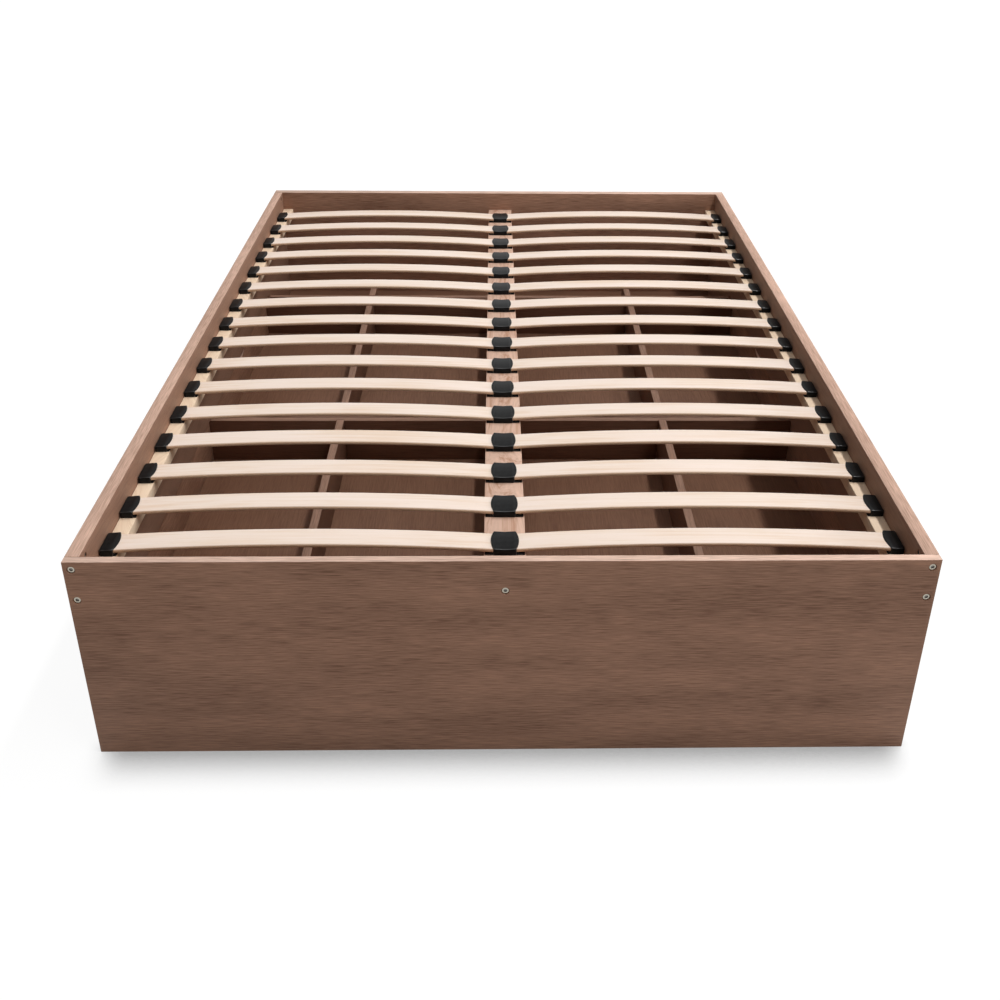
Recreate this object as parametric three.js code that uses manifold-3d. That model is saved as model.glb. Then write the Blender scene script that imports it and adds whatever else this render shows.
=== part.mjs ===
// A storage bed base for a 140 by 200 cm mattress, in millimetres.
// X runs across the bed, Y from the foot to the head, and Z up from the floor that it stands on.
// Four boards on edge make the frame. A bearer along each side and a rail along the middle carry two
// columns of bowed slats, whose ends sit in moulded caps. Under the slats, two drawers a side roll out
// sideways on castors, behind fronts that lie flush in a cut-out of the side panel. A closed bay with
// a floor of its own fills the head end.

import * as THREE from "three";
import { mergeVertices } from "three/addons/utils/BufferGeometryUtils.js";
import Module from "manifold-3d";

const wasm = await Module();
wasm.setup();

// The frame, which holds the mattress with a small gap all round.
const mattressWidth = 1400;
const mattressLength = 2000;
const mattressSideGap = 5;
const mattressEndGap = 4.5;
const frameHeight = 418;
const sideThickness = 25;
const footThickness = 16;
const headThickness = 25;
const boardArris = 1;

// The gap left between pieces that touch, how far a cutting solid runs past what it cuts, and how
// close two corners of one surface are taken as one.
const seatGap = 0.3;
const cutOverrun = 5;
const cornerMatch = 0.0001;

// The bearers and the centre rail, with their tops on one level below the rim.
const bearerDrop = 55;
const bearerWidth = 30;
const bearerHeight = 25;
const railWidth = 74;
const railHeight = 27;
const supportThickness = 18;

// The slats: laminated strips, bowed upwards between the rail and the bearer.
const slatRows = 16;
const firstSlatInset = 104.5;
const slatWidth = 50;
const slatThickness = 8;
const slatCrown = 12.5;
const slatEdge = 2;
const slatBends = 9;

// The moulded caps that hold the slat ends, with a convex tongue over and under each slat.
const capSideWall = 2.7;
const capFloor = 2.5;
const capRoof = 1.8;
const capTongue = 5.5;
const capArris = 1;
const capArcSteps = 2;
const sideCapGrip = 23;
const sideCapEndWall = 3;
const sideCapPanelGap = 1;
const centreCapGrip = 39;
const centreCapWeb = 4;
const slatEndPlay = 1.5;

// The cut-out between the two legs of each side panel, and the drawers that fill it.
const cutoutHeight = 205;
const footLegLength = 131;
const headLegLength = 349;
const drawersPerSide = 2;
const drawerGap = 3;
const frontThickness = 16;
const frontFloorGap = 12;
const drawerWallThickness = 18;
const drawerWallDrop = 10;
const drawerBottomThickness = 9;
const dividerThickness = 18;
const dividerHousing = 6;
const frontCompartment = 310;
const gripWidth = 150;
const gripDepth = 24;
const gripSteps = 10;

// The fixed castors under each drawer, which roll along X.
const castorHeight = 75.5;
const castorFloorGap = 0.5;
const castorInset = 65;
const wheelRadius = 25;
const wheelWidth = 20;
const wheelChamfer = 2;
const wheelSides = 12;
const axleRadius = 4;
const axleSides = 6;
const forkThickness = 3;
const forkGap = 1.5;
const forkFoot = 9;
const forkArcSteps = 2;
const forkPlate = 3;
const forkPlateMargin = 8;

// The closed bay at the head end.
const crossPanelSetback = 3;
const crossPanelThickness = 18;
const bayFloorHeight = 65;
const bayFloorThickness = 12;
const bayFloorGroove = 6;
const braceThickness = 18;
const braceLength = 95;

// What follows from the sizes above.
const innerWidth = mattressWidth + 2 * mattressSideGap;
const innerLength = mattressLength + 2 * mattressEndGap;
const outerWidth = innerWidth + 2 * sideThickness;
const outerLength = innerLength + footThickness + headThickness;
const footInnerY = footThickness - outerLength / 2;
const headInnerY = outerLength / 2 - headThickness;
const innerMidY = (footInnerY + headInnerY) / 2;
const fittedLength = innerLength - 2 * seatGap;
const fittedWidth = innerWidth - 2 * seatGap;

const bearerTop = frameHeight - bearerDrop;
const railUnderside = bearerTop - railHeight;
const slatPitch = (innerLength - 2 * firstSlatInset) / (slatRows - 1);

// The slat's side view is a band between two arcs about one centre.
const slatInnerEnd = centreCapWeb / 2 + slatEndPlay;
const slatOuterEnd = innerWidth / 2 - sideCapPanelGap - sideCapEndWall - slatEndPlay;
const slatHalfSpan = (slatOuterEnd - slatInnerEnd) / 2;
const slatMidX = (slatOuterEnd + slatInnerEnd) / 2;
const bowRadius = (slatHalfSpan ** 2 + slatCrown ** 2) / (2 * slatCrown);
const bowAngle = Math.asin(slatHalfSpan / bowRadius);
const bowCentreZ = slatCrown - bowRadius;
const slatSeat = capFloor + seatGap;

// The roof of a cap clears the slat where the slat leaves it, already a little higher.
const heldLength = sideCapGrip + capTongue - sideCapEndWall - slatEndPlay;
const heldRise = bowCentreZ + Math.sqrt(bowRadius ** 2 - (slatHalfSpan - heldLength) ** 2);
const capHeight = slatSeat + heldRise + slatThickness / Math.cos(bowAngle) + seatGap + capRoof;
const capHalfWidth = slatWidth / 2 + seatGap + capSideWall;

const cutoutStartY = footInnerY + footLegLength;
const cutoutEndY = headInnerY - headLegLength;
const drawerGaps = (drawersPerSide + 1) * drawerGap;
const drawerWidth = (cutoutEndY - cutoutStartY - drawerGaps) / drawersPerSide;
const frontTop = cutoutHeight - drawerGap;
const frontInnerX = outerWidth / 2 - frontThickness;
const boxBackX = supportThickness / 2 + seatGap;
const boxFrontX = frontInnerX - seatGap;
const drawerBottomZ = castorFloorGap + castorHeight;
const drawerFloorZ = drawerBottomZ + drawerBottomThickness;
const drawerWallBase = drawerFloorZ + seatGap;
const drawerWallTop = cutoutHeight - drawerWallDrop;
const dividerFrontX = boxFrontX - frontCompartment;
const dividerBackX = dividerFrontX - dividerThickness;

const crossFrontY = cutoutEndY + crossPanelSetback;
const crossRearY = crossFrontY + crossPanelThickness;
const bayFloorTop = bayFloorHeight + bayFloorThickness;

// Finishes: brown wood-effect boards, pale birch, black nylon and the mid-brown boards inside.
const boardFinish = { color: 0x775a4c, roughness: 0.55, metalness: 0 };
const innerBoardFinish = { color: 0x6b4c3d, roughness: 0.6, metalness: 0 };
const railFinish = { color: 0xcfa994, roughness: 0.55, metalness: 0 };
const bearerFinish = { color: 0xe9cfb4, roughness: 0.6, metalness: 0 };
const slatFinish = { color: 0xf3dcc8, roughness: 0.45, metalness: 0 };

// A rectangle from one corner to the opposite one.
function rectangle(lowX, lowY, highX, highY) {
  const shape = new THREE.Shape();
  shape.moveTo(lowX, lowY);
  shape.lineTo(highX, lowY);
  shape.lineTo(highX, highY);
  shape.lineTo(lowX, highY);
  shape.closePath();
  return shape;
}

// A shape extruded from Z = 0 upwards, with its edges eased at both ends and its full size kept.
function easedExtrusion(shape, depth, ease, curveSegments = 1) {
  const geometry = new THREE.ExtrudeGeometry(shape, {
    depth: depth - 2 * ease,
    bevelEnabled: true,
    bevelThickness: ease,
    bevelSize: ease,
    bevelOffset: -ease,
    bevelSegments: 1,
    curveSegments,
  });
  geometry.translate(0, 0, ease);
  return geometry;
}

// The same with sharp edges.
function plainExtrusion(shape, depth, curveSegments = 1) {
  return new THREE.ExtrudeGeometry(shape, { depth, bevelEnabled: false, curveSegments });
}

// Turns an extrusion drawn in X and Z, so that it runs from Y = 0 to the given depth.
function alongY(geometry, depth) {
  geometry.rotateX(Math.PI / 2);
  geometry.translate(0, depth, 0);
  return geometry;
}

// Turns an extrusion drawn in Y and Z, so that it runs from X = 0 to its depth.
function alongX(geometry) {
  geometry.rotateZ(Math.PI / 2);
  geometry.rotateY(Math.PI / 2);
  return geometry;
}

// A closed geometry as a solid that can be joined and cut, moved on the way if asked.
function solidOf(geometry, x = 0, y = 0, z = 0) {
  const bare = geometry.clone();
  bare.deleteAttribute("normal");
  bare.deleteAttribute("uv");
  bare.translate(x, y, z);
  const merged = mergeVertices(bare, cornerMatch);
  return new wasm.Manifold(
    new wasm.Mesh({
      numProp: 3,
      vertProperties: merged.attributes.position.array,
      triVerts: new Uint32Array(merged.index.array),
    }),
  );
}

// A joined or cut solid back as a geometry, with flat faces.
function geometryOf(solid) {
  const mesh = solid.getMesh();
  const indexed = new THREE.BufferGeometry();
  indexed.setAttribute("position", new THREE.BufferAttribute(mesh.vertProperties, 3));
  indexed.setIndex(new THREE.BufferAttribute(mesh.triVerts, 1));
  const geometry = indexed.toNonIndexed();
  geometry.computeVertexNormals();
  return geometry;
}

function piece(name, geometry, finish) {
  const mesh = new THREE.Mesh(geometry, new THREE.MeshStandardMaterial(finish));
  mesh.name = name;
  return mesh;
}

// The side view of a bowed slat, its lower ends on the X axis. A pocket for the slat is the same
// view, thicker by the growth all round and longer by the end growth.
function slatSideView(growth = 0, endGrowth = 0) {
  const angles = [];
  for (let bend = 0; bend <= slatBends; bend += 1) {
    angles.push(bowAngle * ((2 * bend) / slatBends - 1));
  }
  angles[0] -= endGrowth / bowRadius;
  angles[slatBends] += endGrowth / bowRadius;
  const along = (radius) =>
    angles.map(
      (angle) =>
        new THREE.Vector2(radius * Math.sin(angle), bowCentreZ + radius * Math.cos(angle)),
    );
  const upper = along(bowRadius + slatThickness + growth);
  const lower = along(bowRadius - growth);
  return new THREE.Shape([...upper, ...lower.reverse()]);
}

function slatGeometry() {
  const geometry = alongY(easedExtrusion(slatSideView(), slatWidth, slatEdge), slatWidth);
  geometry.translate(0, -slatWidth / 2, 0);
  return geometry;
}

function pocketGeometry() {
  const width = slatWidth + 2 * seatGap;
  const view = slatSideView(seatGap, slatEndPlay);
  const geometry = alongY(plainExtrusion(view, width), width);
  geometry.translate(0, -width / 2, slatSeat);
  return geometry;
}

// The arc of a tongue bulges past the line between two shoulders on the cap's side walls.
const tongueRadius = (capHalfWidth ** 2 + capTongue ** 2) / (2 * capTongue);
const tongueAngle = Math.asin(capHalfWidth / tongueRadius);

// The plan of a centre cap: a barrel with a tongue towards each slat.
function centreCapPlan() {
  const shoulder = centreCapGrip / 2;
  const arcCentre = shoulder + capTongue - tongueRadius;
  const shape = new THREE.Shape();
  shape.moveTo(-shoulder, -capHalfWidth);
  shape.lineTo(shoulder, -capHalfWidth);
  shape.absarc(arcCentre, 0, tongueRadius, -tongueAngle, tongueAngle, false);
  shape.lineTo(-shoulder, capHalfWidth);
  shape.absarc(-arcCentre, 0, tongueRadius, Math.PI - tongueAngle, Math.PI + tongueAngle, false);
  return shape;
}

// The plan of a side cap, with its straight back at X = 0 and its tongue towards -X.
function sideCapPlan() {
  const arcCentre = tongueRadius - sideCapGrip - capTongue;
  const shape = new THREE.Shape();
  shape.moveTo(-sideCapGrip, -capHalfWidth);
  shape.lineTo(0, -capHalfWidth);
  shape.lineTo(0, capHalfWidth);
  shape.lineTo(-sideCapGrip, capHalfWidth);
  shape.absarc(arcCentre, 0, tongueRadius, Math.PI - tongueAngle, Math.PI + tongueAngle, false);
  return shape;
}

// A moulded cap on its plan, sunk into the wood below by the depth of its eased lower edge.
function capGeometry(plan) {
  const geometry = easedExtrusion(plan, capHeight + capArris, capArris, capArcSteps);
  geometry.translate(0, 0, -capArris);
  return geometry;
}

// Where the middle of each slat row lies, measured from the middle row line.
function slatRowOffsets() {
  const offsets = [];
  for (let row = 0; row < slatRows; row += 1) {
    offsets.push((row - (slatRows - 1) / 2) * slatPitch);
  }
  return offsets;
}

// A wooden strip with caps along it, cut out wherever a slat end sits in a cap.
function stripWithCaps(strip, cap, capX, slatXs) {
  let solid = solidOf(strip);
  for (const y of slatRowOffsets()) {
    solid = solid.add(solidOf(cap, capX, y, 0));
  }
  const pocket = pocketGeometry();
  for (const y of slatRowOffsets()) {
    for (const x of slatXs) {
      solid = solid.subtract(solidOf(pocket, x, y, 0));
    }
  }
  return geometryOf(solid);
}

// The right-hand bearer, with X = 0 on the inner face of the side panel and Z = 0 on its top.
function bearerGeometry() {
  const section = rectangle(-seatGap - bearerWidth, -bearerHeight, -seatGap, 0);
  const strip = alongY(easedExtrusion(section, fittedLength, boardArris), fittedLength);
  strip.translate(0, -fittedLength / 2, 0);
  const cap = capGeometry(sideCapPlan());
  return stripWithCaps(strip, cap, -sideCapPanelGap, [slatMidX - innerWidth / 2]);
}

function centreRailGeometry() {
  const section = rectangle(-railWidth / 2, -railHeight, railWidth / 2, 0);
  const strip = alongY(easedExtrusion(section, fittedLength, boardArris), fittedLength);
  strip.translate(0, -fittedLength / 2, 0);
  return stripWithCaps(strip, capGeometry(centreCapPlan()), 0, [-slatMidX, slatMidX]);
}

// The right-hand side panel: a bridge over the drawers, with a leg at the foot and at the head.
function sidePanelGeometry() {
  const start = footInnerY + seatGap;
  const end = headInnerY - seatGap;
  const shape = new THREE.Shape();
  shape.moveTo(start, 0);
  shape.lineTo(cutoutStartY, 0);
  shape.lineTo(cutoutStartY, cutoutHeight);
  shape.lineTo(cutoutEndY, cutoutHeight);
  shape.lineTo(cutoutEndY, 0);
  shape.lineTo(end, 0);
  shape.lineTo(end, frameHeight);
  shape.lineTo(start, frameHeight);
  shape.closePath();
  return alongX(easedExtrusion(shape, sideThickness, boardArris));
}

function footPanelGeometry() {
  const outline = rectangle(-outerWidth / 2, 0, outerWidth / 2, frameHeight);
  return alongY(easedExtrusion(outline, footThickness, boardArris), footThickness);
}

// The head panel, with a stopped groove in its inner face for the floor of the head bay.
function headPanelGeometry() {
  const outline = rectangle(-outerWidth / 2, 0, outerWidth / 2, frameHeight);
  const board = alongY(easedExtrusion(outline, headThickness, boardArris), headThickness);
  const grooveLow = bayFloorHeight - seatGap;
  const grooveHigh = bayFloorTop + seatGap;
  const opening = rectangle(-innerWidth / 2, grooveLow, innerWidth / 2, grooveHigh);
  const depth = bayFloorGroove + cutOverrun;
  const groove = alongY(plainExtrusion(opening, depth), depth);
  return geometryOf(solidOf(board).subtract(solidOf(groove, 0, -cutOverrun, 0)));
}

// The cross panel behind the drawers, drawn in Y and Z with the bay floor's groove in its rear face.
function crossPanelGeometry() {
  const groove = crossRearY - bayFloorGroove;
  const shape = new THREE.Shape();
  shape.moveTo(crossFrontY, 0);
  shape.lineTo(crossRearY, 0);
  shape.lineTo(crossRearY, bayFloorHeight - seatGap);
  shape.lineTo(groove, bayFloorHeight - seatGap);
  shape.lineTo(groove, bayFloorTop + seatGap);
  shape.lineTo(crossRearY, bayFloorTop + seatGap);
  shape.lineTo(crossRearY, drawerWallTop);
  shape.lineTo(crossFrontY, drawerWallTop);
  shape.closePath();
  const geometry = alongX(easedExtrusion(shape, fittedWidth, boardArris));
  geometry.translate(-fittedWidth / 2, 0, 0);
  return geometry;
}

function bayFloorGeometry() {
  const start = crossRearY - bayFloorGroove + seatGap;
  const end = headInnerY + bayFloorGroove - seatGap;
  const plan = rectangle(-fittedWidth / 2, start, fittedWidth / 2, end);
  return easedExtrusion(plan, bayFloorThickness, boardArris);
}

// A short board on the bay floor that braces the cross panel from behind.
function braceGeometry() {
  const start = crossRearY + seatGap;
  const side = rectangle(start, bayFloorTop + seatGap, start + braceLength, drawerWallTop);
  const geometry = alongX(easedExtrusion(side, braceThickness, boardArris));
  geometry.translate(-braceThickness / 2, 0, 0);
  return geometry;
}

// The board under the centre rail, which also stops the drawers when they close.
function centreSupportGeometry() {
  const start = footInnerY + seatGap;
  const end = crossFrontY - seatGap;
  const side = rectangle(start, 0, end, railUnderside - seatGap);
  const geometry = alongX(easedExtrusion(side, supportThickness, boardArris));
  geometry.translate(-supportThickness / 2, 0, 0);
  return geometry;
}

// A drawer front, drawn in Y and Z, with a hollow in its top edge to pull it by.
function drawerFrontGeometry() {
  const half = drawerWidth / 2;
  const shape = new THREE.Shape();
  shape.moveTo(-half, frontFloorGap);
  shape.lineTo(half, frontFloorGap);
  shape.lineTo(half, frontTop);
  for (let step = gripSteps; step >= 0; step -= 1) {
    const share = (2 * step) / gripSteps - 1;
    const dip = (gripDepth * (1 + Math.cos(Math.PI * share))) / 2;
    shape.lineTo((share * gripWidth) / 2, frontTop - dip);
  }
  shape.lineTo(-half, frontTop);
  shape.closePath();
  const geometry = alongX(easedExtrusion(shape, frontThickness, boardArris));
  geometry.translate(frontInnerX, 0, 0);
  return geometry;
}

// The two sides and the back of a drawer, in plan, with the housings that the divider slides into.
function drawerBoxGeometry() {
  const half = drawerWidth / 2;
  const inner = half - drawerWallThickness;
  const housing = inner + dividerHousing;
  const housingFront = dividerFrontX + seatGap;
  const housingBack = dividerBackX - seatGap;
  const innerBack = boxBackX + drawerWallThickness;
  const shape = new THREE.Shape();
  shape.moveTo(boxBackX, -half);
  shape.lineTo(boxFrontX, -half);
  shape.lineTo(boxFrontX, -inner);
  shape.lineTo(housingFront, -inner);
  shape.lineTo(housingFront, -housing);
  shape.lineTo(housingBack, -housing);
  shape.lineTo(housingBack, -inner);
  shape.lineTo(innerBack, -inner);
  shape.lineTo(innerBack, inner);
  shape.lineTo(housingBack, inner);
  shape.lineTo(housingBack, housing);
  shape.lineTo(housingFront, housing);
  shape.lineTo(housingFront, inner);
  shape.lineTo(boxFrontX, inner);
  shape.lineTo(boxFrontX, half);
  shape.lineTo(boxBackX, half);
  shape.closePath();
  const geometry = easedExtrusion(shape, drawerWallTop - drawerWallBase, boardArris);
  geometry.translate(0, 0, drawerWallBase);
  return geometry;
}

function dividerGeometry() {
  const reach = drawerWidth / 2 - drawerWallThickness + dividerHousing - seatGap;
  const side = rectangle(-reach, drawerWallBase, reach, drawerWallTop);
  const geometry = alongX(easedExtrusion(side, dividerThickness, boardArris));
  geometry.translate(dividerBackX, 0, 0);
  return geometry;
}

// One fork cheek of a castor, drawn in X and Z: wide at the plate and rounded about the axle.
function forkCheek() {
  const shape = new THREE.Shape();
  const axleZ = castorFloorGap + wheelRadius;
  const top = drawerBottomZ;
  shape.moveTo(-wheelRadius, top);
  shape.lineTo(-forkFoot, axleZ);
  shape.absarc(0, axleZ, forkFoot, Math.PI, 2 * Math.PI, false);
  shape.lineTo(wheelRadius, top);
  shape.closePath();
  return alongY(plainExtrusion(shape, forkThickness, forkArcSteps), forkThickness);
}

// A wheel turned about Y, with its treads chamfered.
function wheelGeometry() {
  const half = wheelWidth / 2;
  const profile = [
    new THREE.Vector2(0, -half),
    new THREE.Vector2(wheelRadius - wheelChamfer, -half),
    new THREE.Vector2(wheelRadius, wheelChamfer - half),
    new THREE.Vector2(wheelRadius, half - wheelChamfer),
    new THREE.Vector2(wheelRadius - wheelChamfer, half),
    new THREE.Vector2(0, half),
  ];
  return new THREE.LatheGeometry(profile, wheelSides);
}

// A castor below the drawer's bottom board: a plate, two cheeks, and the wheel on an axle that ends
// inside the cheeks.
function castorSolid() {
  const cheekInner = wheelWidth / 2 + forkGap;
  const cheekOuter = cheekInner + forkThickness;
  const plateX = wheelRadius + forkPlateMargin;
  const plateY = cheekOuter + forkPlateMargin;
  const axleZ = castorFloorGap + wheelRadius;
  const plate = plainExtrusion(rectangle(-plateX, -plateY, plateX, plateY), forkPlate + cutOverrun);
  const axle = new THREE.CylinderGeometry(axleRadius, axleRadius, cheekInner + cheekOuter, axleSides);
  return solidOf(forkCheek(), 0, cheekInner, 0)
    .add(solidOf(forkCheek(), 0, -cheekOuter, 0))
    .add(solidOf(plate, 0, 0, drawerBottomZ - forkPlate))
    .add(solidOf(axle, 0, 0, axleZ))
    .add(solidOf(wheelGeometry(), 0, 0, axleZ));
}

// The drawer's bottom board with a castor near each corner.
function drawerBottomGeometry() {
  const half = drawerWidth / 2;
  const plan = rectangle(boxBackX, -half, boxFrontX, half);
  const board = easedExtrusion(plan, drawerBottomThickness, boardArris);
  let solid = solidOf(board, 0, 0, drawerBottomZ);
  const castor = castorSolid();
  for (const x of [boxBackX + castorInset, boxFrontX - castorInset]) {
    for (const y of [castorInset - half, half - castorInset]) {
      solid = solid.add(castor.translate([x, y, 0]));
    }
  }
  return geometryOf(solid);
}

// Moves a mesh to its place and hands it on to its group.
function placed(mesh, x, y, z) {
  mesh.position.set(x, y, z);
  return mesh;
}

// Two sides of the bed are alike: the left one is the right one turned half round about its middle.
const sides = [
  { name: "left", turn: Math.PI, sign: -1 },
  { name: "right", turn: 0, sign: 1 },
];

function makeFrame() {
  const frame = new THREE.Group();
  frame.add(
    placed(piece("foot_panel", footPanelGeometry(), boardFinish), 0, -outerLength / 2, 0),
    placed(piece("head_panel", headPanelGeometry(), boardFinish), 0, headInnerY, 0),
    placed(piece("centre_rail", centreRailGeometry(), railFinish), 0, innerMidY, bearerTop),
    piece("centre_support_panel", centreSupportGeometry(), innerBoardFinish),
    piece("rear_cross_panel", crossPanelGeometry(), innerBoardFinish),
    placed(piece("head_bay_floor", bayFloorGeometry(), innerBoardFinish), 0, 0, bayFloorHeight),
  );
  for (const side of sides) {
    const panel = piece(side.name + "_side_panel", sidePanelGeometry(), boardFinish);
    const panelX = side.sign > 0 ? innerWidth / 2 : -outerWidth / 2;
    const bearer = piece(side.name + "_bearer", bearerGeometry(), bearerFinish);
    bearer.rotation.z = side.turn;
    const brace = piece(side.name + "_head_bay_brace", braceGeometry(), innerBoardFinish);
    const braceX = (dividerFrontX + dividerBackX) / 2;
    frame.add(
      placed(panel, panelX, 0, 0),
      placed(bearer, (side.sign * innerWidth) / 2, innerMidY, bearerTop),
      placed(brace, side.sign * braceX, 0, 0),
    );
  }
  return frame;
}

function makeSlats() {
  const slats = new THREE.Group();
  slats.position.set(0, innerMidY, bearerTop + slatSeat);
  for (const side of sides) {
    slatRowOffsets().forEach((y, row) => {
      const number = String(row + 1).padStart(2, "0");
      const slat = piece("slat_" + side.name + "_" + number, slatGeometry(), slatFinish);
      slats.add(placed(slat, side.sign * slatMidX, y, 0));
    });
  }
  return slats;
}

function makeDrawer(name) {
  const drawer = new THREE.Group();
  drawer.add(
    piece(name + "_front", drawerFrontGeometry(), boardFinish),
    piece(name + "_box", drawerBoxGeometry(), innerBoardFinish),
    piece(name + "_divider", dividerGeometry(), innerBoardFinish),
    piece(name + "_bottom", drawerBottomGeometry(), innerBoardFinish),
  );
  return drawer;
}

// The drawers of a side are named by their places: foot, any middle ones, head.
function drawerPlaceName(place) {
  if (place === 0) {
    return "foot";
  }
  return place === drawersPerSide - 1 ? "head" : "middle_" + place;
}

function makeDrawers() {
  const drawers = new THREE.Group();
  const firstMid = cutoutStartY + drawerGap + drawerWidth / 2;
  for (const side of sides) {
    for (let place = 0; place < drawersPerSide; place += 1) {
      const drawer = makeDrawer(side.name + "_" + drawerPlaceName(place) + "_drawer");
      drawer.position.y = firstMid + place * (drawerWidth + drawerGap);
      drawer.rotation.z = side.turn;
      drawers.add(drawer);
    }
  }
  return drawers;
}

const bedBase = new THREE.Group();
bedBase.add(makeFrame(), makeSlats(), makeDrawers());

export default bedBase;
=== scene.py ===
"""The looks of a storage bed base: boards with their fittings, sprung slats in moulded caps,
drawers on castors, wood, plastic and steel finishes, a soft studio and the photograph's camera."""

import math

import bmesh
import bpy
from mathutils import Matrix, Vector


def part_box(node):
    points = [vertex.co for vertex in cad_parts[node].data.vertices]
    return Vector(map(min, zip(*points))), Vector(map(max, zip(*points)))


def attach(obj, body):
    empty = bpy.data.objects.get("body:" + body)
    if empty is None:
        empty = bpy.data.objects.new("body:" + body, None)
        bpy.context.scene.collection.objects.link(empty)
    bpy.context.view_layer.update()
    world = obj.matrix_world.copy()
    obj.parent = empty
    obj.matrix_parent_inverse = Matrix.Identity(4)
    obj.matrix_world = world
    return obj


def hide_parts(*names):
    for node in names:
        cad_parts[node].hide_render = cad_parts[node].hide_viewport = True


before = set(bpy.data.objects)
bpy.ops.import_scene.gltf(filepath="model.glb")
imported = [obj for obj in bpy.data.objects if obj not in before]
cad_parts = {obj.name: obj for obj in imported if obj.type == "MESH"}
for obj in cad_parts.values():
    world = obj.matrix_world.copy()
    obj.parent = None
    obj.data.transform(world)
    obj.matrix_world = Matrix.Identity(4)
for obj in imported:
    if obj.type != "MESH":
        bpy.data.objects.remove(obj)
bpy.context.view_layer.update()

MM = 0.001
SIDES = {"left": -1, "right": 1}
DRAWER_ENDS = ("foot", "head")
ROWS = 16

# The camera, fitted to the outer corners of the frame. Its optical axis meets the picture off its
# middle, which the two shares of the picture's width say.
CAMERA_PLACE = Vector((-0.0192, -2.5529, 1.5188))
CAMERA_PITCH = math.radians(27.163)
CAMERA_YAW = math.radians(1.445)
CAMERA_ROLL = math.radians(-0.681)
FOCAL_SHARE = 1.1254
AXIS_RIGHT_SHARE = 0.0193
AXIS_UP_SHARE = 0.109
SENSOR_WIDTH = 36

# Boards.
ARRIS = 1.0 * MM
ARRIS_STEPS = 2
SEAT_GAP = 0.3 * MM
CUT_OVERRUN = 5 * MM

# Slats.
SLAT_WIDTH = 50 * MM
SLAT_THICKNESS = 8 * MM
SLAT_CROWN = 12.5 * MM
SLAT_HALF_SPAN = 348 * MM
SLAT_CORNER = 3.4 * MM
SLAT_CORNER_STEPS = 4
SLAT_STEPS = 36
BOW_RADIUS = (SLAT_HALF_SPAN ** 2 + SLAT_CROWN ** 2) / (2 * SLAT_CROWN)
BOW_ANGLE = math.asin(SLAT_HALF_SPAN / BOW_RADIUS)
BOW_CENTRE = SLAT_CROWN - BOW_RADIUS
PLIES = 7
ROW_SEED = 3.71
SIDE_SEEDS = {"left": 50, "right": 0}

# Moulded caps, whose roofs slope with the slats.
CAP_HALF_WIDTH = 28.0 * MM
CAP_TONGUE = 5.5 * MM
CAP_HEIGHT = 14.6 * MM
CAP_EDGE = 1.5 * MM
CAP_EDGE_STEPS = 4
CAP_BACK_CORNER = 2 * MM
CAP_STRIPS = 10
CAP_SLOPE = math.tan(BOW_ANGLE)
TONGUE_STEPS = 18
SIDE_CAP_GRIP = 23 * MM
SIDE_CAP_PANEL_GAP = 1 * MM
CENTRE_CAP_GRIP = 39 * MM
SLAT_SEAT = 2.8 * MM
POCKET_END_GAP = 1.5 * MM
BASE_PLATE_WIDTH = 70 * MM
SIDE_PLATE_WIDTH = 28.5 * MM
BASE_PLATE_DEPTH = 53 * MM
BASE_PLATE_HEIGHT = 2.3 * MM
BASE_PLATE_ARRIS = 0.5 * MM

# Strips that carry the caps.
BEARER_WIDTH = 30 * MM
BEARER_HEIGHT = 25 * MM
RAIL_WIDTH = 74 * MM
RAIL_HEIGHT = 27 * MM
STRIP_ARRIS = 1.2 * MM
STRIP_ARRIS_STEPS = 3

# Fittings: screws sunk in the end boards, the barrel nuts that they draw up, and bearer screws.
# A slot has its width and then its depth.
SCREW_X = 716 * MM
SCREW_HEIGHTS = (402.5 * MM, 340.5 * MM)
MIDDLE_SCREW_HEIGHT = 357 * MM
SCREW_RADIUS = 5.8 * MM
SCREW_SINK = 1.3 * MM
SCREW_EDGE = 0.5 * MM
SCREW_EDGE_CURVE = 0.15 * MM
SCREW_TIP_SHARE = 0.7
SCREW_FLANK_SHARE = 0.45
SOCKET_RADIUS = 2.9 * MM
SOCKET_DEPTH = 1.75 * MM
SOCKET_LIP = 0.25 * MM
SOCKET_LIP_DEPTH = 0.2 * MM
SOCKET_RISE = 0.05 * MM
SOCKET_MARGIN = 0.3 * MM
SCREW_HOLE_RADIUS = 7.1 * MM
SCREW_HOLE_DEPTH = 3.2 * MM
SCREW_HOLE_FLOOR_GAP = 0.1 * MM
HEAD_EDGE = 0.2 * MM
NUT_INSET = 26 * MM
NUT_RADIUS = 5 * MM
NUT_DEPTH = 2 * MM
NUT_SLOT = (1.4 * MM, 1.1 * MM)
NUT_SINK = 1.6 * MM
NUT_HOLE_GAP = 0.4 * MM
NUT_HOLE_DEPTH = 4 * MM
BEARER_SCREW_OFFSET = 42 * MM
BEARER_SCREW_DROP = 5 * MM
BEARER_SCREW_RADIUS = 2.8 * MM
BEARER_SCREW_DEPTH = 1 * MM
BEARER_SCREW_SLOT = (0.8 * MM, 0.5 * MM)
BEARER_SCREW_RISE = 0.4 * MM

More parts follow.
